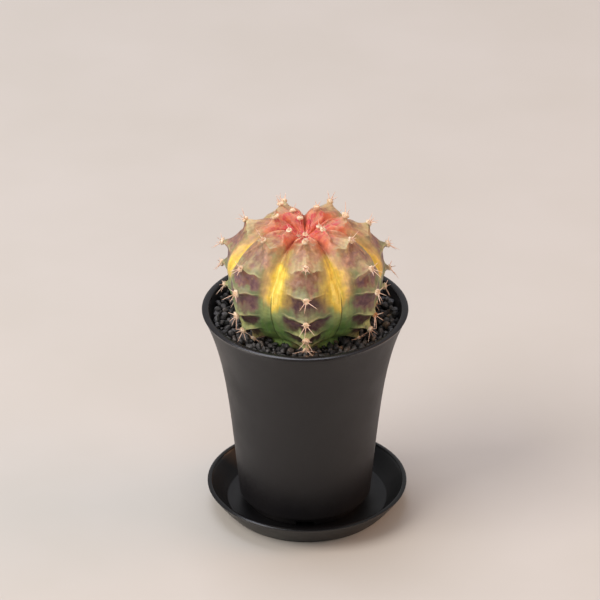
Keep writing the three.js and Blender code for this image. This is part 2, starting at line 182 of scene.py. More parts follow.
# Saucer. One black polypropylene moulding: a flat floor and a thin wall that leans out
# and curves up to a rounded lip. It stands on the table and the pot stands loose in it.
saucer_low, saucer_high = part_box("saucer")
SAUCER_CENTRE = ((saucer_low.x + saucer_high.x) * 500, 0)
SAUCER_LIP_RADIUS = (saucer_high.x - saucer_low.x) * 500
SAUCER_HEIGHT = saucer_high.z * 1000
SAUCER_LIP_WIDTH = 1.5
SAUCER_FLOOR_RADIUS = 27.9
SAUCER_BASE_RADIUS = 27.3
SAUCER_FLOOR = 2.1
SAUCER_WALL_BEND = 0.85
SAUCER_WALL_STEPS = 12
SAUCER_WALL_TOP = SAUCER_HEIGHT - 0.6
SAUCER_LIP_ROUNDING = 0.4
SAUCER_EDGE_ROUNDING = 0.35
SAUCER_FLOOR_ROUNDING = 0.7
ROUND_SEGMENTS = 192
ARC_STEPS = 5
SHARP_EDGE = math.radians(35)


def rounded(corners):
    """A profile of (radius, height, rounding) corners, with each corner drawn as a small arc."""
    profile = []
    for i, (radius, height, rounding) in enumerate(corners):
        here = np.array([radius, height])
        if rounding == 0:
            profile.append(here)
            continue
        before = np.array(corners[i - 1][:2]) - here
        after = np.array(corners[i + 1][:2]) - here
        reach = min(rounding, np.hypot(*before) * 0.49, np.hypot(*after) * 0.49)
        start = here + before / np.hypot(*before) * reach
        end = here + after / np.hypot(*after) * reach
        for share in np.linspace(0, 1, ARC_STEPS):
            profile.append((1 - share) ** 2 * start + 2 * share * (1 - share) * here + share ** 2 * end)
    return profile


def closed_rings(first, count, sides, start, end, downward=False):
    """Faces of a closed piece: a count of rings of points, from the point numbered first on, and
    a point at each end. A start of None leaves that end open."""
    last = first + (count - 1) * sides
    faces = []
    for i in range(sides):
        j = (i + 1) % sides
        if start is not None:
            faces.append((start, first + j, first + i))
        for low in range(first, last, sides):
            faces.append((low + i, low + j, low + sides + j, low + sides + i))
        faces.append((last + i, last + j, end))
    return [face[:1] + face[:0:-1] for face in faces] if downward else faces


def turned(name, profile, material, centre=(0, 0), sides=ROUND_SEGMENTS):
    """A solid turned about an upright axis from a profile that starts and ends on the axis."""
    angles = np.arange(sides) * 2 * math.pi / sides
    points = [(*centre, profile[0][1]), (*centre, profile[-1][1])]
    for radius, height in profile[1:-1]:
        ring = np.stack([centre[0] + radius * np.sin(angles), centre[1] - radius * np.cos(angles)], 1)
        points.extend((x, y, height) for x, y in ring.tolist())
    made = mesh_object(name, points, closed_rings(2, len(profile) - 2, sides, 0, 1), material)
    made.data.set_sharp_from_angle(angle=SHARP_EDGE)
    return made


def saucer_wall(base_radius, base_height, top_radius):
    """Corners of one face of the leaning wall, from its base to its top."""
    return [(base_radius + (top_radius - base_radius) * share ** SAUCER_WALL_BEND,
             base_height + (SAUCER_WALL_TOP - base_height) * share, 0)
            for share in np.linspace(0, 1, SAUCER_WALL_STEPS)]


MOULD_GRAIN_MM = 0.5
MOULD_GRAIN_DEPTH = 0.0001
DUST_SPECK_MM = 0.7
HANDLING_MM = 14
POLISH_START = 1.5
POLISH_FULL = 0.6


def moulded_plastic(name, deep, dusty, grain, roughness, lip):
    """Black polypropylene from a spark-eroded mould: the fine grain scatters the light, so the
    black reads as a satin charcoal, with a film of dust and a little handling in it. The lip,
    whose height is given in millimetres, comes off polished steel and is smoother."""
    material, tree, surface = new_material(name)
    # A real mould grain is about 0.1 mm. It is drawn coarser, so that it shows.
    mould_grain = add(tree, "TexNoise", {"Scale": per_mm(MOULD_GRAIN_MM), "Detail": 4.0, "Roughness": 0.6})
    handled = add(tree, "TexNoise", {"Scale": per_mm(HANDLING_MM), "Detail": 5.0, "Roughness": 0.55})
    specks = add(tree, "TexVoronoi", {"Scale": per_mm(DUST_SPECK_MM), "Randomness": 1.0})
    speck = add(tree, "MapRange", {"Value": specks, "From Min": 0.05, "From Max": 0.16,
                                   "To Min": 1.0, "To Max": 0.0})
    few = add(tree, "MapRange", {"Value": specks.outputs["Color"], "From Min": 0.86, "From Max": 0.9})
    facing = add(tree, "NewGeometry")
    up = add(tree, "SeparateXYZ", {"Vector": facing.outputs["Normal"]})
    lying = add(tree, "MapRange", {"Value": up.outputs["Z"], "From Min": -0.1, "From Max": 1.0,
                                   "To Min": 0.1, "To Max": 0.25})
    film = add(tree, "Math", {0: lying, 1: handled}, operation="MULTIPLY")
    dots = add(tree, "Math", {0: speck, 1: few}, operation="MULTIPLY")
    dots = add(tree, "Math", {0: dots, 1: 0.5, 2: film}, operation="MULTIPLY_ADD")
    colour = add(tree, "ValToRGB", {"Fac": dots}, [(0.0, deep), (1.0, dusty)])
    rough = add(tree, "MapRange", {"Value": handled, "From Min": 0.3, "From Max": 0.7,
                                   "To Min": roughness - 0.06, "To Max": roughness + 0.08})
    place = add(tree, "SeparateXYZ", {"Vector": facing.outputs["Position"]})
    polish = add(tree, "MapRange", {"Value": place.outputs["Z"], "From Min": (lip - POLISH_START) / 1000,
                                    "From Max": (lip - POLISH_FULL) / 1000, "To Min": 1.0, "To Max": 0.5})
    rough = add(tree, "Math", {0: rough, 1: polish}, operation="MULTIPLY")
    depth = add(tree, "Math", {0: polish, 1: grain}, operation="MULTIPLY")
    relief = add(tree, "Bump", {"Strength": depth, "Distance": MOULD_GRAIN_DEPTH, "Height": mould_grain})
    feed(surface, {"Base Color": colour, "Roughness": rough, "IOR": 1.49, "Normal": relief})
    return material


saucer_plastic = moulded_plastic(
    "satin black polypropylene saucer", "#08080a", "#1d1c1e", grain=0.25, roughness=0.42, lip=SAUCER_HEIGHT)
inner_lip = SAUCER_LIP_RADIUS - SAUCER_LIP_WIDTH
saucer_profile = rounded([
    (0, 0, 0),
    (SAUCER_BASE_RADIUS - 1.5, 0, 0),
    (SAUCER_BASE_RADIUS, 0, SAUCER_EDGE_ROUNDING),
    *saucer_wall(SAUCER_BASE_RADIUS + 0.3, 0.4, SAUCER_LIP_RADIUS - 0.05),
    (SAUCER_LIP_RADIUS, SAUCER_HEIGHT - 0.35, SAUCER_LIP_ROUNDING),
    (SAUCER_LIP_RADIUS - 0.8, SAUCER_HEIGHT, SAUCER_LIP_ROUNDING),
    (inner_lip, SAUCER_HEIGHT - 0.1, SAUCER_LIP_ROUNDING),
    *saucer_wall(SAUCER_FLOOR_RADIUS, SAUCER_FLOOR + 0.5, inner_lip + 0.05)[::-1],
    (SAUCER_FLOOR_RADIUS - 0.5, SAUCER_FLOOR, SAUCER_FLOOR_ROUNDING),
    (SAUCER_FLOOR_RADIUS - 3, SAUCER_FLOOR, 0),
    (0, SAUCER_FLOOR, 0),
])
saucer = turned("saucer_moulding", saucer_profile, saucer_plastic, SAUCER_CENTRE)
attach(saucer, "root")
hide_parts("saucer")


# Pot. One black polypropylene moulding, more matt than the saucer: a slim cone that flares fast
# near its rounded rim, on a notched foot ring, with four drain holes.
pot_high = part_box("pot")[1]
POT_RIM_RADIUS = pot_high.x * 1000
POT_RIM = pot_high.z * 1000
POT_BODY_HEIGHT = 71
POT_BASE = POT_RIM - POT_BODY_HEIGHT
POT_BASE_RADIUS = 22.5
POT_TAPER = 0.096
POT_FLARE_POWER = 4.46
POT_FLARE = POT_RIM_RADIUS - POT_BASE_RADIUS - POT_TAPER * POT_BODY_HEIGHT
POT_WALL = 1.7
POT_LIP_WIDTH = 2.4
POT_LIP_ROUNDING = 0.5
POT_WALL_START = 0.5
POT_WALL_STEPS = 34
POT_FLOOR = POT_BASE + 1.8
FOOT_RADIUS = 19.6
FOOT_WIDTH = 3.2
FOOT_ROUNDING = 0.3
FOOT_NOTCHES = 3
FOOT_NOTCH_WIDTH = 6
FOOT_NOTCH_HEIGHT = 1.5
DRAIN_RADIUS = 3
DRAIN_RING_RADIUS = 9.5
DRAIN_COUNT = 4
DRAIN_SIDES = 32


def pot_radius(height):
    """Outside radius of the pot at a height above the table."""
    up = np.maximum(np.asarray(height) - POT_BASE, 0)
    return POT_BASE_RADIUS + POT_TAPER * up + POT_FLARE * (up / POT_BODY_HEIGHT) ** POT_FLARE_POWER


def cut(solid, cutters):
    """Cuts closed meshes out of a solid, and removes them."""
    for cutter in cutters:
        step = solid.modifiers.new("cut", "BOOLEAN")
        step.object = cutter
        step.operation = "DIFFERENCE"
        step.solver = "EXACT"
    graph = bpy.context.evaluated_depsgraph_get()
    mesh = bpy.data.meshes.new_from_object(solid.evaluated_get(graph))
    solid.modifiers.clear()
    solid.data = mesh
    for cutter in cutters:
        bpy.data.objects.remove(cutter)


pot_plastic = moulded_plastic(
    "matt black polypropylene pot", "#141316", "#363335", grain=0.35, roughness=0.46, lip=POT_RIM)
foot_inner = FOOT_RADIUS - FOOT_WIDTH
lip_foot = POT_RIM - 0.7
wall_rise = lip_foot - POT_BASE - POT_WALL_START
outer_heights = [POT_BASE + POT_WALL_START + wall_rise * (i / POT_WALL_STEPS) ** 0.8
                 for i in range(POT_WALL_STEPS + 1)]
inner_heights = np.linspace(POT_RIM - 2.2, POT_FLOOR + 1.2, 20)
pot_profile = rounded([
    (0, POT_BASE, 0),
    (foot_inner - 0.6, POT_BASE, FOOT_ROUNDING),
    (foot_inner, SAUCER_FLOOR, FOOT_ROUNDING),
    (FOOT_RADIUS, SAUCER_FLOOR, FOOT_ROUNDING),
    (FOOT_RADIUS + 0.6, POT_BASE, FOOT_ROUNDING),
    (POT_BASE_RADIUS - 1.4, POT_BASE, 0),
    (POT_BASE_RADIUS, POT_BASE, 0.5),
    *[(pot_radius(height), height, 0) for height in outer_heights],
    (POT_RIM_RADIUS, POT_RIM - 0.4, POT_LIP_ROUNDING),
    (POT_RIM_RADIUS - 0.9, POT_RIM, POT_LIP_ROUNDING),
    (POT_RIM_RADIUS - POT_LIP_WIDTH, POT_RIM, 0.8),
    *[(pot_radius(height) - POT_WALL, height, 0) for height in inner_heights],
    (pot_radius(POT_FLOOR) - POT_WALL, POT_FLOOR, 0.8),
    (0, POT_FLOOR, 0),
])
pot = turned("pot_moulding", pot_profile, pot_plastic)
cutters = []
for i in range(FOOT_NOTCHES):
    turn = (i + 0.5) * 2 * math.pi / FOOT_NOTCHES
    block = [(side * FOOT_NOTCH_WIDTH / 2, radius, SAUCER_FLOOR + up * FOOT_NOTCH_HEIGHT)
             for side in (-1, 1) for radius in (foot_inner - 1, FOOT_RADIUS + 1) for up in (-1, 1)]
    block = [(x * math.cos(turn) - y * math.sin(turn), x * math.sin(turn) + y * math.cos(turn), z)
             for x, y, z in block]
    sides = [(0, 1, 3, 2), (4, 6, 7, 5), (0, 4, 5, 1), (2, 3, 7, 6), (0, 2, 6, 4), (1, 5, 7, 3)]
    cutters.append(mesh_object("notch", block, sides, pot_plastic))
for i in range(DRAIN_COUNT):
    turn = (i + 0.5) * 2 * math.pi / DRAIN_COUNT
    centre = (DRAIN_RING_RADIUS * math.cos(turn), DRAIN_RING_RADIUS * math.sin(turn))
    low, high = POT_BASE - 2, POT_FLOOR + 2
    hole = [(0, low), (DRAIN_RADIUS, low), (DRAIN_RADIUS, high), (0, high)]
    cutters.append(turned("drain", hole, pot_plastic, centre, DRAIN_SIDES))
cut(pot, cutters)
pot.data.shade_smooth()
pot.data.set_sharp_from_angle(angle=SHARP_EDGE)
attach(pot, "root")
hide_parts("pot")


# Potting mix. Peat and fine bark that fill the pot under the gravel and hold the root.
# It keeps the frame's own solid.
BARK_FIBRE_MM = 2.5
PEAT_CRUMB_MM = 0.8

# Wet crumbs swallow the light, so the mix is a matt brown-black with paler shreds of bark
peat, tree, surface = new_material("damp peat and bark")
fibre = add(tree, "TexNoise", {"Scale": per_mm(BARK_FIBRE_MM), "Detail": 6.0, "Distortion": 1.2})
crumb = add(tree, "TexVoronoi", {"Scale": per_mm(PEAT_CRUMB_MM)})
mixed = add(tree, "Math", {0: fibre, 1: crumb, 2: 0.1}, operation="MULTIPLY_ADD")
colour = add(tree, "ValToRGB", {"Fac": fibre}, [(0.3, "#17110d"), (0.55, "#2f2118"), (0.75, "#4a3524")])
relief = add(tree, "Bump", {"Strength": 0.8, "Distance": 0.0008, "Height": mixed})
feed(surface, {"Base Color": colour, "Roughness": 0.95, "Normal": relief})
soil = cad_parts["soil"]
soil.data.materials.clear()
soil.data.materials.append(peat)


# Cactus body. Watery flesh grown as one body with seven ribs, on its own root. The ribs are
# notched above every areole, sharply from below, and fold into each other in the grooves. Near
# the crown two edges spread down from each areole, round the top of the next tubercle.
BODY_RADIUS = 29.6
BODY_RISE = 22.1
BODY_DROP = 24.1
BODY_CENTRE = POT_RIM + 13.3
BODY_SQUARENESS = 2.33
CROWN_DIMPLE_DEPTH = 7.6
CROWN_DIMPLE_RADIUS = 7.6
# Rows count areoles down a rib from the crown, and across a rib 0 is its crest and 1 the groove.
# Each rib has its direction in degrees from the front, the share of a row by which it starts
# lower, its width beside its neighbours, the degrees its areoles sway, how far rows 0 and 1
# are pushed down it, and the rows of its youngest areoles.
RIBS = [
    (0.6, 0.0, 1.1, 0.0, (0.0, 0.0), [0]),
    (54.6, 0.44, 1.0, 0.5, (-0.15, 0.03), [0]),
    (105.4, -0.14, 1.0, 0.5, (0.04, 0.12), [0]),
    (156.3, -0.34, 1.0, 1.0, (0.0, -0.15), []),
    (206.0, 0.05, 1.0, 9.0, (0.0, 0.0), [0, 0.45]),
    (252.8, -0.25, 1.0, 1.0, (0.0, -0.2), []),
    (307.7, 0.41, 1.0, 0.5, (-0.24, 0.03), [-0.28, 0]),
]
RIB_AZIMUTHS, RIB_STARTS, RIB_WIDTHS, RIB_SWAYS = np.array([rib[:4] for rib in RIBS]).T
RIB_PUSHES = np.array([rib[4] for rib in RIBS])
random = np.random.default_rng(11)
LUMP_WAVES = random.normal(size=(3, 5)) * 0.32
LUMP_PHASES = random.uniform(0, 6, 5)
FINE_WAVES = random.normal(size=(3, 6)) * 0.9
FINE_PHASES = random.uniform(0, 6, 6)
HALF_RIB = math.pi / len(RIBS)
AREOLES_PER_RIB = 7
FIRST_LATITUDE = 71.4
LATITUDE_STEP = 16.4
WIDE_GAP = 11.1
WIDE_GAP_PLACE = 2.11
WIDE_GAP_SPREAD = 0.65
CROWN_ROW = -0.47
UPPER_ROWS_END = 2.2
LOWER_ROWS_START = 3.2
GROUND_ROW = 6.6
BURIED_ROW = 7.2
NOTCH_DEPTH = 0.062
NOTCH_UNDERCUT = 0.2
YOUNG_NOTCH_UNDERCUT = 0.34
NOTCH_SWEEP_START = 0.5
NOTCH_MEAN = 0.5
NOTCH_SWEEP_POWER = 2.2
RIDGE_SLOPE = 0.6
NOTCH_SLOPE = 0.36
RIDGE_FADE_START = 0.45
RIDGE_FADE_END = 0.85
CHEVRON_LIFT = 0.3
LOBE_DROP = 0.14
LOBE_REACH = 0.8
GROOVE_LEVEL = 0.875
GROOVE_FOLD_START = 0.8
CROWN_GROOVE_LEVEL = 0.8
CROWN_FOLD_START = 0.55
CREASE_DEPTH = 0.022
CREASE_WIDTH = 0.12
BURIED_LEVEL = 0.985
YOUNG_RADIUS = 8
YOUNG_ROW = 0.3
GROWN_ROW = 1.8
BURIED_ROWS = [7, 7.25, 7.6, 8, 8.4]
AREOLE_UNDER_RIDGE = 0.03
CREST_ROUNDING = 0.09
CROWN_ROUNDING = 0.26
YOUNG_NOTCH_DEPTH = 0.11
YOUNG_FOLD_SHIFT = 0.1
PETAL_START = 0.15
PETAL_SPREAD = 0.72
PETAL_LEVEL = 0.25
PETAL_SLOPE = 0.16
PETAL_BRINK = 0.02
TALL_RIB = 4
TALL_ROW = 0.45
TALL_LIFT = 0.075
TALL_ROWS = 0.28
TALL_ACROSS = 0.4
LUMP_MM = 0.16
FINE_LUMP_MM = 0.05
RIDGE_WAVER = 0.07
RIDGE_WAVES = ((19, 1.7), (41, -2.9))
NUB_HEIGHT = 0.032
NUB_ROWS = 0.15
NUB_ACROSS = 0.11
ROOT_NECK_RADIUS = 5.5
ROOT_LENGTH = 24


def smoothstep(low, high, value):
    share = np.clip((value - low) / (high - low), 0, 1)
    return share * share * (3 - 2 * share)


def mix(start, end, share):
    return start + (end - start) * share


def body_outline(latitude):
    """Radius and height of the body through the tips of its areoles."""
    power = 2 / BODY_SQUARENESS
    radius = BODY_RADIUS * np.maximum(np.cos(latitude), 0) ** power
    share = np.abs(np.sin(latitude)) ** power
    dimple = CROWN_DIMPLE_DEPTH * np.exp(-(radius / CROWN_DIMPLE_RADIUS) ** 2)
    above = BODY_CENTRE + BODY_RISE * share - dimple
    return radius, np.where(latitude < 0, BODY_CENTRE - BODY_DROP * share, above)


def latitude_at(row):
    """Latitude of a row. The rows lie furthest apart round the second one."""
    gap = WIDE_GAP * np.tanh((row - WIDE_GAP_PLACE) / WIDE_GAP_SPREAD)
    return np.radians(np.minimum(FIRST_LATITUDE - LATITUDE_STEP * row - gap, 90))


def notch(share, undercut):
    """Depth of the notch between two areoles: quick under the upper one, then sweeping out."""
    under = 0.5 * smoothstep(0, undercut, share) + 0.5 * (1 - (1 - np.minimum(share / undercut, 1)) ** 2)
    swept = np.maximum(share - NOTCH_SWEEP_START, 0) / (1 - NOTCH_SWEEP_START)
    return under * (1 - swept ** NOTCH_SWEEP_POWER)


def start_at(rib, row):
    """How far down a rib its row lies, with the crowding of its youngest areoles."""
    pushed = mix(RIB_PUSHES[rib, 0], RIB_PUSHES[rib, 1], np.clip(row, 0, 1))
    return RIB_STARTS[rib] + pushed * np.clip(2 - row, 0, 1)


def skin(row, azimuth, across, rib, next_rib):
    """Points of the skin, with the row counted from the rib's own areoles and the row counted
    from the crown of the whole body."""
    # How far down the body the point lies: the notches sag to the sides near the crown, rise to
    # the sides lower down, and meet those of the next rib in the groove
    to_groove = smoothstep(RIDGE_FADE_START, 1, across)
    started = smoothstep(CROWN_ROW, YOUNG_ROW, row)
    buried = smoothstep(GROUND_ROW, BURIED_ROW, row)
    upper = 1 - smoothstep(UPPER_ROWS_END, LOWER_ROWS_START, row)
    start = start_at(rib, row)
    shared = mix(start, (start + start_at(next_rib, row)) / 2, to_groove)
    young = 1 - smoothstep(YOUNG_ROW, GROWN_ROW, row)
    rounding = mix(CREST_ROUNDING, CROWN_ROUNDING, young)
    from_crest = np.sqrt(across ** 2 + rounding ** 2)
    lobe = LOBE_DROP * np.sin(math.pi * np.minimum(across / LOBE_REACH, 1))
    chevron = mix(CHEVRON_LIFT * (from_crest - rounding), -lobe, upper) * (1 - to_groove)
    step = row + (shared - chevron) * started * (1 - buried)
    radius, height = body_outline(latitude_at(step))

    # How deep it is in the notch of its rib, within the spreading edges or outside them
    waver = sum(np.sin(azimuth * around + row * along) for around, along in RIDGE_WAVES)
    own_row = row + shared - start + RIDGE_WAVER / 2 * waver * smoothstep(0, 0.35, across) * (1 - to_groove)
    phase = np.mod(own_row, 1)
    notched = notch(phase, mix(NOTCH_UNDERCUT, YOUNG_NOTCH_UNDERCUT, upper))
    to_flank = smoothstep(RIDGE_FADE_START, RIDGE_FADE_END, across)
    edge = PETAL_START + PETAL_SPREAD * phase
    outside = PETAL_LEVEL * mix(notched, 1, to_flank)
    petal = mix(notched, outside, smoothstep(edge - PETAL_SLOPE, edge + PETAL_BRINK, across))
    hollow = mix(mix(notched, NOTCH_MEAN, to_flank), petal, young)

    # How far out it is, as a share of the outline: the flank, the nub that carries an areole, the
    # fold and crease in the groove, and the one tall tubercle at the back
    slope = mix(RIDGE_SLOPE, NOTCH_SLOPE, hollow)
    cut_back = 1 - mix(NOTCH_DEPTH, YOUNG_NOTCH_DEPTH, young) * hollow
    tilt = slope * np.sin((from_crest - rounding * young) * HALF_RIB)
    flank = cut_back / (np.cos(across * HALF_RIB) + tilt)
    from_areole = np.mod(own_row - AREOLE_UNDER_RIDGE + 0.5, 1) - 0.5
    nub = NUB_HEIGHT * np.exp(-(from_areole / NUB_ROWS) ** 2 - (across / NUB_ACROSS) ** 2)
    groove = mix(GROOVE_LEVEL, CROWN_GROOVE_LEVEL, upper)
    fold = smoothstep(mix(GROOVE_FOLD_START, CROWN_FOLD_START, upper) + YOUNG_FOLD_SHIFT * young, 1, across)
    crease = CREASE_DEPTH * np.exp(-((1 - across) / CREASE_WIDTH) ** 2)
    tall = TALL_LIFT * np.exp(-((row - TALL_ROW) / TALL_ROWS) ** 2 - (across / TALL_ACROSS) ** 2)
    tall = tall * (np.asarray(rib) == TALL_RIB)
    ribbed = mix(flank + nub, groove, fold) - crease + tall
    grown = np.minimum(radius / YOUNG_RADIUS, 1)
    level = mix(1 - (1 - ribbed) * grown, BURIED_LEVEL, buried)

    # Grown flesh is a little uneven, and some ribs sway
    radius = radius * level
    height = BODY_CENTRE + (height - BODY_CENTRE) * level
    swing = -np.radians(RIB_SWAYS[rib]) * np.cos(math.pi * row) * (1 - smoothstep(0, 1, across))
    turn = azimuth + swing * (1 - buried)
    point = np.stack([radius * np.sin(turn), -radius * np.cos(turn), height], -1)
    lumps = LUMP_MM * np.sin(point @ LUMP_WAVES + LUMP_PHASES).sum(-1)
    lumps = lumps + FINE_LUMP_MM * np.sin(point @ FINE_WAVES + FINE_PHASES).sum(-1)
    return point * (1 + lumps[..., None] / BODY_RADIUS * [1, 1, 0]), own_row, step


# Columns of the skin, closer together at the crests and in the grooves
HALF_RIB_COLUMNS = 24
column_parts = []
for i in range(len(RIBS)):
    for side in (-1, 1):
        beside = (i + side) % len(RIBS)
        span = side * ((side * (RIB_AZIMUTHS[beside] - RIB_AZIMUTHS[i])) % 360)
        span *= RIB_WIDTHS[i] / (RIB_WIDTHS[i] + RIB_WIDTHS[beside])
        shares = 0.5 - 0.5 * np.cos(math.pi * np.arange(HALF_RIB_COLUMNS) / HALF_RIB_COLUMNS)
        shares = 1 - shares if side < 0 else shares
        for share in shares:
            column_parts.append((math.radians(RIB_AZIMUTHS[i] + span * share), share, i, beside))
turns, acrosses, ribs, besides = np.array(column_parts).T
ribs, besides = ribs.astype(int), besides.astype(int)

# Rows, closer together under each ridge
ROW_STEPS = np.concatenate([np.linspace(0, 0.24, 9), np.linspace(0.28, 0.84, 11), np.linspace(0.88, 0.98, 4)])
rows = np.concatenate([
    np.linspace(CROWN_ROW + 0.03, -0.03, 14),
    *[i + ROW_STEPS for i in range(AREOLES_PER_RIB)],
    BURIED_ROWS,
])
points, own_rows, steps = skin(rows[:, None], turns, acrosses, ribs, besides)
acrosses = np.broadcast_to(acrosses, own_rows.shape)

# The buried neck and taproot close the body below
body_bottom = BODY_CENTRE - BODY_DROP * BURIED_LEVEL
root = [(ROOT_NECK_RADIUS, 0.08), (0.7 * ROOT_NECK_RADIUS, 0.5), (0.3 * ROOT_NECK_RADIUS, 0.93)]
root_rings = [np.stack([radius * np.sin(turns), -radius * np.cos(turns),
                        np.full(len(turns), body_bottom - share * ROOT_LENGTH)], -1)
              for radius, share in root]
rings = np.concatenate([points, root_rings])
crown_point = (0, 0, body_outline(math.pi / 2)[1])
root_tip = (0, 0, body_bottom - ROOT_LENGTH)
ring_count, column_count = rings.shape[:2]
body_points = np.concatenate([rings.reshape(-1, 3), [crown_point, root_tip]])
crown_number = ring_count * column_count
body_faces = closed_rings(0, ring_count, column_count, crown_number, crown_number + 1, downward=True)

# Skin of the cactus. A waxy epidermis, matt with a fine grain, over watery flesh that lets a
# little light through and so looks soft. Where green is missing the flesh shows yellow in the
# grooves and coral red in the crown, and sun has turned the hollows under the ridges mauve.
BLOTCH_MM = 7
PATCH_MM = 3
MOTTLE_MM = 1.3
GRAIN_MM = 0.35
BREATHING_PORE_MM = 0.8
FIBRE_SCALE = (9, 0.9, 1.5)
GROWTH_BAND_SCALE = (2.2, 5, 3)
YELLOW_MIDDLE = 2.95
YELLOW_TAPER = 0.13
BLEACHED_RIB = 0
BLEACHED_REACH = 0.16
BURIED_SKIN_ROW = 8.5

flesh, tree, surface = new_material("waxy cactus skin")
own, down, across, bleached = [
    add(tree, "Attribute", attribute_name=name).outputs["Fac"]
    for name in ("own_row", "body_row", "across", "bleached")
]
blotch, patch, mottle, grain = [
    add(tree, "TexNoise", {"Scale": per_mm(size), "Detail": detail, "Roughness": fineness})
    for size, detail, fineness in (
        (BLOTCH_MM, 2.0, 0.5), (PATCH_MM, 2.0, 0.45), (MOTTLE_MM, 1.5, 0.5), (GRAIN_MM, 2.0, 0.7))
]


def drawn_out(row, scale, detail, fineness):
    """A pattern laid out by ribs and rows, with a scale across the rib, down it and by blotch."""
    lie = add(tree, "CombineXYZ", {"X": across, "Y": row, "Z": blotch})
    lie = add(tree, "VectorMath", {0: lie, 1: scale}, operation="MULTIPLY")
    return add(tree, "TexNoise", {"Vector": lie, "Scale": 1.0, "Detail": detail, "Roughness": fineness})


def where(*edges):
    """A mask that is full where all its edges hold. An edge is another mask, or a value with the
    places where it starts and is full, and its least and full strength if not 0 and 1."""
    mask = None
    for edge in edges:
        if isinstance(edge, tuple):
            value, start, full, *strength = edge
            least, most = strength or (0.0, 1.0)
            edge = add(tree, "MapRange", {
                "Value": value, "From Min": start, "From Max": full, "To Min": least, "To Max": most,
            }, interpolation_type="SMOOTHSTEP")
        if mask is None:
            mask = edge
        else:
            mask = add(tree, "Math", {0: mask, 1: edge}, operation="MULTIPLY")
    return mask


def shifted(value, by, amount, centre=0.5):
    """A value moved by a share of what another one, such as a noise, is off its centre."""
    away = add(tree, "Math", {0: by, 1: centre}, operation="SUBTRACT")
    return add(tree, "Math", {0: away, 1: amount, 2: value}, operation="MULTIPLY_ADD")


def painted(under, layers):
    """A colour with others laid over it in turn, each where all of its edges hold."""
    for over, *edges in layers:
        cover = {"Factor": where(*edges), 6: under, 7: linear(over)}
        under = add(tree, "Mix", cover, data_type="RGBA").outputs[2]
    return under


# Fibres in the flesh run down the ribs and draw the colours out into streaks, and growth left
# faint bands that run across them
streak = drawn_out(down, FIBRE_SCALE, 1.5, 0.5)
banding = drawn_out(own, GROWTH_BAND_SCALE, 2.0, 0.55)
phase = add(tree, "Math", {0: own}, operation="FRACT")
loose_down = shifted(shifted(shifted(down, blotch, 1.2), patch, 0.7), streak, 0.9)
loose_across = shifted(shifted(across, blotch, 0.35), patch, 0.3)
loose_phase = shifted(shifted(shifted(shifted(phase, blotch, 0.6), patch, 0.8), mottle, 0.25), streak, 0.3)

# Ground colour, from the coral crown through ochre and olive to green at the soil, with
# olive and pinkish clouds in it
ground = add(tree, "MapRange", {"Value": loose_down, "From Min": -0.5, "From Max": 7.0})
skin_colour = add(tree, "ValToRGB", {"Fac": ground}, [
    (0.0, "#cf6359"), (0.1, "#cc7560"), (0.17, "#c98a6a"), (0.22, "#b88860"), (0.29, "#b59468"),
    (0.36, "#a08a66"), (0.44, "#847e5d"), (0.56, "#6c7054"), (0.68, "#66754d"), (0.84, "#5f7c42"),
    (1.0, "#5c7038"),
])
skin_colour = painted(skin_colour, [
    ("#828761", (patch, 0.48, 0.62, 0.0, 0.7), (down, 1.2, 2.0)),
    ("#b08370", (patch, 0.5, 0.36, 0.0, 0.6), (down, 4.2, 2.8), (down, 0.6, 1.2)),
])

# Crown: tan clouds on the tops of the tubercles, bright coral towards the grooves, raspberry and
# orange patches, and rust in the folds
skin_colour = painted(skin_colour, [
    ("#a97a64", (patch, 0.52, 0.4, 0.0, 0.6), (loose_across, 0.5, 0.2), (down, 1.4, 0.9), (down, 0.0, 0.4)),
    ("#e68468", (loose_across, 0.4, 0.85, 0.0, 0.8), (loose_down, 1.6, 1.0)),
    ("#bd3549", (patch, 0.48, 0.6, 0.0, 0.85), (streak, 0.35, 0.55, 0.3, 1.0), (down, 1.2, 0.7)),
    ("#d0652c", (blotch, 0.5, 0.4, 0.0, 0.5), (across, 0.3, 0.6), (across, 0.95, 0.75), (down, 1.5, 0.9)),
    ("#9b552e", (loose_across, 0.3, 0.6), (loose_down, 0.3, 0.8), (loose_down, 1.9, 1.4),
     (bleached, 0.0, BLEACHED_REACH, 0.15, 0.7)),
])

# Pale bloom that gathers above each ridge: tan high up, green low down
bloom = where((loose_phase, 0.5, 0.9), (loose_across, 0.7, 0.25))
skin_colour = painted(skin_colour, [
    ("#bea680", bloom, (down, 0.7, 1.3), (down, 2.6, 2.0, 0.1, 0.8)),
    ("#66764f", (loose_across, 0.15, 0.5), (loose_down, 2.4, 3.2, 0.0, 0.9)),
    ("#a3aa72", bloom, (down, 4.0, 4.6), (loose_across, 0.45, 0.25), (mottle, 0.3, 0.7, 0.6, 1.0)),
])

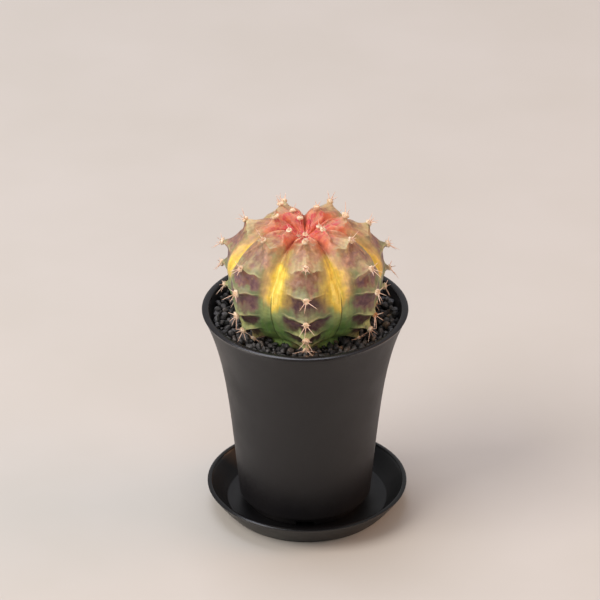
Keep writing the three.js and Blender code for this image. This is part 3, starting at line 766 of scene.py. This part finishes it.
# Sunned mauve under each ridge, warmer on the bleached rib, brown-red in the shade, and purple
# wings under the lower ridges
mauve = where((loose_across, 0.7, 0.35), (loose_phase, 0.0, 0.14), (loose_phase, 0.9, 0.4),
              (loose_down, 0.7, 1.4), (loose_down, 5.0, 3.4))
cool = where((bleached, BLEACHED_REACH, 0.0))
wing_reach = shifted(loose_across, phase, 0.7, 0)
short = where(cool, (loose_phase, 0.3, 0.6), (down, 4.4, 4.0))
wing = where((wing_reach, 1.0, 0.64), (phase, 0.03, 0.14), (loose_phase, 0.9, 0.5), (down, 2.4, 3.2),
             (short, 0.0, 1.0, 1.0, 0.25))
skin_colour = painted(skin_colour, [
    ("#9a6d56", mauve, (mottle, 0.3, 0.65, 0.85, 0.5), (loose_down, 1.2, 2.3, 0.4, 1.0)),
    ("#84635f", mauve, cool, (mottle, 0.3, 0.65, 0.9, 0.5), (loose_down, 1.4, 2.4, 0.42, 1.0)),
    ("#76545e", mauve, (loose_down, 2.1, 2.6), (mottle, 0.3, 0.7, 0.8, 0.45),
     (bleached, BLEACHED_REACH, 0.0, 0.4, 1.0)),
    ("#7f503a", mauve, (patch, 0.48, 0.62, 0.0, 0.8), (loose_down, 1.4, 2.4, 0.4, 1.0)),
    ("#4a2f38", wing, (mottle, 0.3, 0.7, 1.0, 0.75), (shifted(down, bleached, 6.0, 0), 3.2, 4.4, 0.65, 1.0)),
])

# Grey-green skin that stays round each areole, and painted highlights as pale lines along the
# edges: the crest between two areoles and the rim of each ridge
skin_colour = painted(skin_colour, [
    ("#6a7058", (across, 0.17, 0.06), (loose_phase, 0.24, 0.1), (down, 0.8, 1.6), (down, 4.6, 3.6),
     (patch, 0.35, 0.6, 0.2, 0.8)),
    # painted highlight along the crest between two areoles
    ("#a9a27c", (loose_across, 0.1, 0.0), (across, 0.1, 0.02), (down, 0.9, 1.5), (down, 4.4, 3.2),
     (patch, 0.4, 0.62, 0.1, 0.5)),
    # painted highlight along the rim of each ridge
    ("#c3ba8e", (phase, 0.9, 0.98), (loose_across, 0.75, 0.5), (down, 0.6, 1.6, 0.15, 0.55),
     (patch, 0.35, 0.6, 0.4, 1.0)),
])

# Two pale lines, painted highlights, that spread from each upper areole along the edges of its tubercle
from_line = shifted(shifted(across, phase, -PETAL_SPREAD, 0), patch, 0.12)
from_line = add(tree, "Math", {0: from_line, 1: PETAL_START}, operation="SUBTRACT")
from_line = add(tree, "Math", {0: from_line}, operation="ABSOLUTE")
skin_colour = painted(skin_colour, [
    # painted highlight along the two spreading edges
    ("#d4a182", (from_line, 0.09, 0.01), (phase, 1.0, 0.8), (down, 0.2, 0.6), (down, 2.6, 2.0),
     (mottle, 0.35, 0.65, 0.3, 0.8), (down, 0.9, 1.5, 1.0, 0.5)),
])

# Grooves: ochre edges, peach and cream flanks except on the bleached rib, a lemon band that
# narrows at both ends and is palest in its core, green below it, rust-brown high in the folds that
# is partly their colour and partly painted shade, and dark green seams low down
from_middle = add(tree, "Math", {0: down, 1: YELLOW_MIDDLE}, operation="SUBTRACT")
from_middle = add(tree, "Math", {0: from_middle, 1: from_middle}, operation="MULTIPLY")
tapered = shifted(shifted(loose_across, bleached, 1.6, 0), from_middle, -YELLOW_TAPER, 0)
tapered = shifted(shifted(tapered, streak, 0.2), where((loose_down, 3.3, 4.3)), -0.3, 0)
lit = where((shifted(loose_down, bleached, -2.5, 0), 1.3, 1.9), (loose_down, 4.4, 3.8))
deep = where((loose_across, 0.35, 0.75), (loose_down, 3.9, 4.6))
skin_colour = painted(skin_colour, [
    ("#ad9253", (tapered, 0.48, 0.8, 0.0, 0.9), (loose_down, 1.1, 1.9), (loose_down, 4.1, 3.3)),
    ("#cda578", (tapered, 0.55, 0.8), (loose_down, 1.0, 1.6), (loose_down, 3.6, 3.0), cool,
     (blotch, 0.4, 0.6, 0.4, 0.9)),
    ("#e3c279", (loose_across, 0.7, 0.9), (loose_down, 2.0, 2.7), (loose_down, 4.1, 3.3), cool),
    ("#8f9a5e", (loose_across, 0.55, 0.85), (loose_down, 3.4, 4.0)),
    ("#e0c046", (tapered, 0.7, 0.98), lit),
    ("#f0d870", (tapered, 0.88, 1.04), (loose_down, 2.0, 2.6), lit, (streak, 0.35, 0.6, 0.1, 0.85)),
    ("#6a8355", deep, (patch, 0.35, 0.65, 1.0, 0.6)),
    ("#587b3d", deep, (streak, 0.4, 0.6, 0.1, 0.8), (down, 4.2, 5.0)),
    ("#86a55c", (loose_across, 0.3, 0.6), (loose_down, 5.3, 5.9, 0.0, 0.8)),
    # rust-brown in the folds, partly their colour and partly painted shade
    ("#9c4a2c", (across, 0.84, 0.98), (loose_down, 1.9, 1.3), (blotch, 0.3, 0.6, 0.5, 0.9)),
    ("#27350f", (across, 0.975, 0.997), (down, 3.0, 3.6), (mottle, 0.3, 0.6, 0.6, 1.0)),
])

# Pale breathing pores as fine specks, and corky brown scars low on the body
pores = add(tree, "TexVoronoi", {"Scale": per_mm(BREATHING_PORE_MM)})
skin_colour = painted(skin_colour, [
    ("#dccfae", (pores, 0.2, 0.06), (grain, 0.5, 0.7, 0.0, 0.2)),
    ("#9a8c60", (loose_down, 5.5, 6.2), (loose_across, 0.6, 0.4), (patch, 0.4, 0.6, 0.2, 0.9)),
])

# Cell by cell the flesh is a little lighter or darker
tone = where((streak, 0.3, 0.7, 0.9, 1.1), (mottle, 0.3, 0.7, 0.93, 1.07), (banding, 0.3, 0.7, 0.94, 1.06))
skin_colour = add(tree, "VectorMath", {0: skin_colour, "Scale": tone}, operation="SCALE")

# The wax is half matt, and light sinks a millimetre or two into the flesh, red the furthest
rough = add(tree, "MapRange", {"Value": mottle, "From Min": 0.3, "From Max": 0.7,
                               "To Min": 0.34, "To Max": 0.52})
relief = add(tree, "Bump", {"Strength": 0.3, "Distance": 0.00012, "Height": grain})
relief = add(tree, "Bump", {"Strength": 0.35, "Distance": 0.0005, "Height": mottle, "Normal": relief})
feed(surface, {"Base Color": skin_colour, "Roughness": rough, "IOR": 1.42, "Normal": relief})
feed(surface, {"Subsurface Weight": 0.22, "Subsurface Radius": (1.0, 0.45, 0.2), "Subsurface Scale": 0.0016})

body = mesh_object("cactus_body", body_points, body_faces, flesh)
bleaching = np.broadcast_to(np.where(ribs == BLEACHED_RIB, BLEACHED_REACH, 0.0), own_rows.shape)
for name, values, at_crown, at_root in (
    ("own_row", own_rows, CROWN_ROW, BURIED_SKIN_ROW),
    ("body_row", steps, CROWN_ROW, BURIED_SKIN_ROW),
    ("across", acrosses, 1, 0),
    ("bleached", bleaching, 0, 0),
):
    below = np.full(len(root) * column_count + 2, at_root, float)
    values = np.concatenate([values.ravel(), below])
    values[crown_number] = at_crown
    layer = body.data.attributes.new(name, "FLOAT", "POINT")
    layer.data.foreach_set("value", values.astype(np.float32))
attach(body, "root")
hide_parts("cactus")


# Wool of the areoles. Each areole is a felted cushion of short cream hairs that grows on the tip
# of its tubercle, smallest in the crown, with a hollow where the spines come out. One is a ring
# and one has dried.
AREOLE_RADIUS = 1.08
AREOLE_HEIGHT = 0.75
YOUNG_AREOLE_RADIUS = 0.62
LOWEST_AREOLE = 71.9
DRIED_AREOLE = (1, 4)
RING_AREOLE = (5, 1)
WOOL_CORE = 0.95
WOOL_HAIRS = 160
WOOL_HAIR_LENGTH = 0.75
WOOL_HAIR_RADIUS = 0.045
HAIR_TANGLE = 0.55
RING_SIZE = 1.3
DRIED_MARK = 2.0

body_middle = np.array([0, 0, BODY_CENTRE])


def unit(vector):
    return vector / np.linalg.norm(vector)


areoles = []
for i in range(len(RIBS)):
    for row in [*RIBS[i][5], *range(1, AREOLES_PER_RIB)]:
        place, _, step = skin(row + AREOLE_UNDER_RIDGE, math.radians(RIB_AZIMUTHS[i]), 0.0, i, i)
        out = unit(place - body_middle)
        side = unit(np.array([-place[1], place[0], 0]))
        grown = min(math.hypot(place[0], place[1]) / YOUNG_RADIUS, 1)
        if place[2] > LOWEST_AREOLE:
            areoles.append({"place": place, "out": out, "side": side, "up": np.cross(out, side),
                            "grown": grown, "row": step, "name": (i, row)})


def ball(rings, segments):
    """Directions over a sphere, and the faces between them."""
    spots = [(0, 0, 1.0)]
    for i in range(1, rings):
        tilt = math.pi * i / rings
        for j in range(segments):
            turn = 2 * math.pi * j / segments
            spots.append((math.sin(tilt) * math.cos(turn), math.sin(tilt) * math.sin(turn), math.cos(tilt)))
    spots.append((0, 0, -1.0))
    return np.array(spots), closed_rings(1, rings - 1, segments, 0, len(spots) - 1, downward=True)


class Pile:
    """Points and faces of many small closed pieces that make one object, with a mark for each
    point that its material reads."""

    def __init__(self):
        self.points = []
        self.faces = []
        self.marks = []

    def add(self, points, faces, mark=0.0):
        first = len(self.points)
        self.points.extend(np.asarray(points).tolist())
        self.faces.extend(tuple(first + n for n in face) for face in faces)
        self.marks.extend(np.broadcast_to(mark, len(points)).tolist())

    def made(self, name, material):
        piece = mesh_object(name, self.points, self.faces, material)
        layer = piece.data.attributes.new("mark", "FLOAT", "POINT")
        layer.data.foreach_set("value", self.marks)
        return piece


cushion_spots, cushion_faces = ball(10, 18)
wool = Pile()
for areole in areoles:
    axes = np.stack([areole["side"], areole["up"], areole["out"]])
    ring, dried = areole["name"] == RING_AREOLE, areole["name"] == DRIED_AREOLE
    size = mix(YOUNG_AREOLE_RADIUS, AREOLE_RADIUS, areole["grown"])
    size *= RING_SIZE if ring else random.uniform(0.88, 1.1)
    lumps = np.sin(cushion_spots @ random.normal(size=(3, 4)) * 3 + random.uniform(0, 6, 4)).sum(1)
    span = size * np.array([1, 1.12, AREOLE_HEIGHT / AREOLE_RADIUS])
    shape = cushion_spots * (1 + 0.17 * lumps / 2)[:, None] * span * WOOL_CORE
    from_axis = shape[:, 0] ** 2 + shape[:, 1] ** 2
    hollow_radius = size * (0.7 if ring else 0.35)
    hollow = random.uniform(0.1, 0.45) * size * np.exp(-(from_axis / hollow_radius ** 2))
    shape[:, 2] -= np.where(shape[:, 2] > 0, hollow, 0)
    marks = np.clip(cushion_spots[:, 2] * 8 - 7, 0, 1) + DRIED_MARK * dried
    if ring:
        marks = -np.clip(cushion_spots[:, 2] * 4 - 2.6, 0, 1)
    wool.add(areole["place"] + shape @ axes, cushion_faces, marks)
    for _ in range(WOOL_HAIRS):
        lean = unit(random.normal(size=3) * [1, 1, 0.7] + [0, 0, 0 if ring else 0.5])
        base = lean * span * WOOL_CORE * 0.85
        way = unit(lean + random.normal(size=3) * HAIR_TANGLE)
        tip = base + way * WOOL_HAIR_LENGTH * size * random.uniform(0.4, 0.85)
        across_hair = unit(np.cross(tip - base, random.normal(size=3))) * WOOL_HAIR_RADIUS
        other = unit(np.cross(tip - base, across_hair)) * WOOL_HAIR_RADIUS
        corners = [base + across_hair, base - 0.5 * across_hair + 0.87 * other,
                   base - 0.5 * across_hair - 0.87 * other, tip]
        hair = areole["place"] + np.array(corners) @ axes
        wool.add(hair, [(0, 2, 1), (0, 1, 3), (1, 2, 3), (2, 0, 3)], DRIED_MARK * dried)

# The hairs scatter the light, so the wool is soft, matt and cream. Marks make it browner in the
# hollow, rusty where it has dried and olive inside the ring.
WOOL_TUFT_MM = 0.8
felt, tree, surface = new_material("felted areole wool")
tuft = add(tree, "TexNoise", {"Scale": per_mm(WOOL_TUFT_MM), "Detail": 3.0, "Roughness": 0.65})
colour = add(tree, "ValToRGB", {"Fac": tuft}, [(0.3, "#cf9f74"), (0.45, "#ecceaa"), (0.7, "#fff3df")])
mark = add(tree, "Attribute", attribute_name="mark").outputs["Fac"]
colour = painted(colour, [
    ("#a07a55", (mark, 0.6, 1.0, 0.0, 0.7)),
    ("#b77a45", (mark, 1.2, 1.8, 0.0, 0.85)),
    ("#b3a150", (mark, -0.2, -0.9)),
])
relief = add(tree, "Bump", {"Strength": 0.6, "Distance": 0.0003, "Height": tuft})
feed(surface, {"Base Color": colour, "Roughness": 0.95, "Sheen Weight": 0.3, "Sheen Roughness": 0.5,
               "Normal": relief})
wool_piece = wool.made("areole_wool", felt)
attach(wool_piece, "root")
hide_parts("cactus")


# Spines. Five slender, slightly curved needles of hard horn grow from each areole: one down the
# rib, two obliquely down and two up. The upward ones are the longest near the crown, and the
# downward ones lower on the rib.
SPINE_LENGTH = 5.0
SPINE_RADIUS = 0.155
SPINE_SPREAD = 54
YOUNG_SPINE_SPREAD = 26
SPINE_DIRECTIONS = (0, 52, -52, 128, -128)
SPINE_SCATTER = 14
YOUNG_SPINE_SHARE = 0.42
UPWARD_SPINE_SHARE = 0.62
YOUNG_UPWARD_SHARE = 1.18
YOUNG_DOWNWARD_SHARE = 0.5
GROWN_SPINE_ROW = 1.5
HANGING_SPINE_ROW = 2.8
SPREAD_SPINE_ROW = 3.2
SPINE_TIP_RADIUS = 0.02
SPINE_SIDES = 6
SPINE_STEPS = 8
GRAIN_CREST = 73.4

needles = Pile()
spine_tip = (SPINE_STEPS - 1) * SPINE_SIDES
spine_faces = [tuple(range(SPINE_SIDES - 1, -1, -1))]
spine_faces += closed_rings(0, SPINE_STEPS - 1, SPINE_SIDES, None, spine_tip)
for areole in areoles:
    age = smoothstep(0.4, GROWN_SPINE_ROW, areole["row"]) ** 0.7
    hanging = smoothstep(1, HANGING_SPINE_ROW, areole["row"])
    spreading = mix(YOUNG_SPINE_SPREAD, SPINE_SPREAD, smoothstep(1, SPREAD_SPINE_ROW, areole["row"]))
    for direction in SPINE_DIRECTIONS:
        length = SPINE_LENGTH * mix(YOUNG_SPINE_SHARE, 1, age) * random.uniform(0.75, 1.1)
        if abs(direction) > 90:
            length *= mix(YOUNG_UPWARD_SHARE, UPWARD_SPINE_SHARE, hanging)
        else:
            length *= mix(YOUNG_DOWNWARD_SHARE, 1, hanging)
        turn = math.radians(direction + random.uniform(-SPINE_SCATTER, SPINE_SCATTER))
        spread = math.radians(spreading + random.uniform(-8, 8))
        along = areole["side"] * math.sin(turn) - areole["up"] * math.cos(turn)
        aim = unit(areole["out"] * math.cos(spread) + along * math.sin(spread))
        # A spine that would dig into the gravel lies on it instead
        lowest = (GRAIN_CREST - areole["place"][2]) / length
        if aim[2] < lowest:
            flat = unit(np.array([aim[0], aim[1], 0])) * math.sqrt(1 - lowest * lowest)
            aim = np.array([flat[0], flat[1], lowest])
        bow = areole["out"] * random.uniform(-0.06, 0.02) * length
        first = unit(np.cross(aim, [0.3, 0.5, 0.8]))
        second = np.cross(aim, first)
        spine_points = []
        for share in np.linspace(0, 1, SPINE_STEPS)[:-1]:
            middle = areole["place"] + aim * length * share + bow * share ** 2
            thick = SPINE_RADIUS * mix(0.8, 1, areole["grown"]) * (1 - share) ** 0.6 + SPINE_TIP_RADIUS
            for k in range(SPINE_SIDES):
                angle = 2 * math.pi * k / SPINE_SIDES
                spine_points.append(middle + thick * (first * math.cos(angle) + second * math.sin(angle)))
        spine_points.append(areole["place"] + aim * length + bow)
        needles.add(spine_points, spine_faces)

# Smooth horn with a soft gloss, straw-coloured with paler and pinker flecks
SPINE_FLECK_MM = 0.9
spine_horn, tree, surface = new_material("straw-coloured spine")
fleck = add(tree, "TexNoise", {"Scale": per_mm(SPINE_FLECK_MM), "Detail": 2.0})
colour = add(tree, "ValToRGB", {"Fac": fleck}, [(0.3, "#d09c82"), (0.5, "#e9c4ae"), (0.7, "#f9e6d6")])
feed(surface, {"Base Color": colour, "Roughness": 0.4, "IOR": 1.5})
spines = needles.made("spines", spine_horn)
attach(spines, "root")
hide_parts("cactus")


# Gravel. Loose black lava grains of 2 to 3.5 mm, crushed, sieved and dry, a few of them brown.
# They lie two deep between the plant and the pot, and rise a little towards its wall.
GRIT_TOP = POT_RIM - 5.6
GRIT_BANK = 2.2
GRAIN_LEAST = 0.85
GRAIN_MOST = 1.5
GRAIN_CUTS = 8
CHIP_SHARPNESS = 32

at_ground = np.abs(points[:, :, 2] - GRIT_TOP).argmin(0)
ground_points = points[at_ground, np.arange(column_count)]
ground_azimuths = np.mod(turns, 2 * math.pi)
order = np.argsort(ground_azimuths)


def foot_radius(azimuth):
    """Radius of the cactus where it goes into the gravel."""
    radii = np.hypot(ground_points[:, 0], ground_points[:, 1])
    return np.interp(azimuth, ground_azimuths[order], radii[order], period=2 * math.pi)


stones = Pile()
fine_spots, fine_faces = ball(9, 14)
plain_spots, plain_faces = ball(6, 8)


def scatter_grains(level, spots, faces, overlap, tries):
    """Throws grains between plant and pot, and keeps each one that finds room."""
    laid = np.zeros((0, 3))
    for _ in range(tries):
        size = random.uniform(GRAIN_LEAST, GRAIN_MOST)
        azimuth = random.uniform(0, 2 * math.pi)
        wall_radius = pot_radius(level + GRIT_BANK) - POT_WALL - size * 0.8
        foot = foot_radius(azimuth) - 0.1
        radius = math.sqrt(random.uniform(foot ** 2, wall_radius ** 2)) if foot < wall_radius else wall_radius
        spot = np.array([radius * math.sin(azimuth), -radius * math.cos(azimuth)])
        if len(laid) and (np.hypot(*(laid[:, :2] - spot).T) < overlap * (laid[:, 2] + size)).any():
            continue
        laid = np.vstack([laid, [*spot, size]])
        cuts = random.normal(size=(GRAIN_CUTS, 3))
        cuts /= np.linalg.norm(cuts, axis=1)[:, None]
        depth = random.uniform(0.5, 0.9, GRAIN_CUTS)
        facing = spots @ cuts.T
        reach = np.where(facing > 0.05, depth / np.maximum(facing, 0.05), 9)
        reach = -np.log(np.exp(-CHIP_SHARPNESS * np.minimum(reach, 1.15)).sum(1)) / CHIP_SHARPNESS
        stone = spots * (reach * size)[:, None] * random.uniform(0.8, 1.12, 3)
        bank = GRIT_BANK * (radius - foot) / max(wall_radius - foot, 1)
        height = level + bank + random.uniform(-0.45, 0.4) - 0.35 * (size - GRAIN_LEAST)
        stones.add(stone + [*spot, height], faces, random.uniform())


scatter_grains(GRIT_TOP - 0.1, fine_spots, fine_faces, 0.83, 9000)
scatter_grains(GRIT_TOP - 2.0, plain_spots, plain_faces, 0.8, 5000)

# Full of fine pores and broken across them, so its faces are dull and mottled and only their
# edges and ridges glint
PORE_MM = 0.35
LAVA_MOTTLE_MM = 1.2
lava, tree, surface = new_material("dry black lava")
mark = add(tree, "Attribute", attribute_name="mark").outputs["Fac"]
pore = add(tree, "TexVoronoi", {"Scale": per_mm(PORE_MM)})
patch = add(tree, "TexNoise", {"Scale": per_mm(LAVA_MOTTLE_MM), "Detail": 4.0, "Roughness": 0.65})
kind = add(tree, "ValToRGB", {"Fac": mark}, [
    (0.0, "#29282a"), (0.5, "#403f41"), (0.85, "#555456"), (0.95, "#5d544e"), (1.0, "#75604f")])
tone = add(tree, "MapRange", {"Value": patch, "From Min": 0.3, "From Max": 0.7, "To Min": 0.6, "To Max": 1.5})
mottled = add(tree, "VectorMath", {0: kind, "Scale": tone}, operation="SCALE")
pitted = add(tree, "Math", {0: pore, 1: 0.6, 2: patch}, operation="MULTIPLY_ADD")
relief = add(tree, "Bump", {"Strength": 0.7, "Distance": 0.00025, "Height": pitted})
feed(surface, {"Base Color": mottled, "Roughness": 0.5, "IOR": 1.52, "Normal": relief})
gravel = stones.made("lava_gravel", lava)
gravel.data.set_sharp_from_angle(angle=math.radians(40))
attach(gravel, "root")
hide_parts("grit")
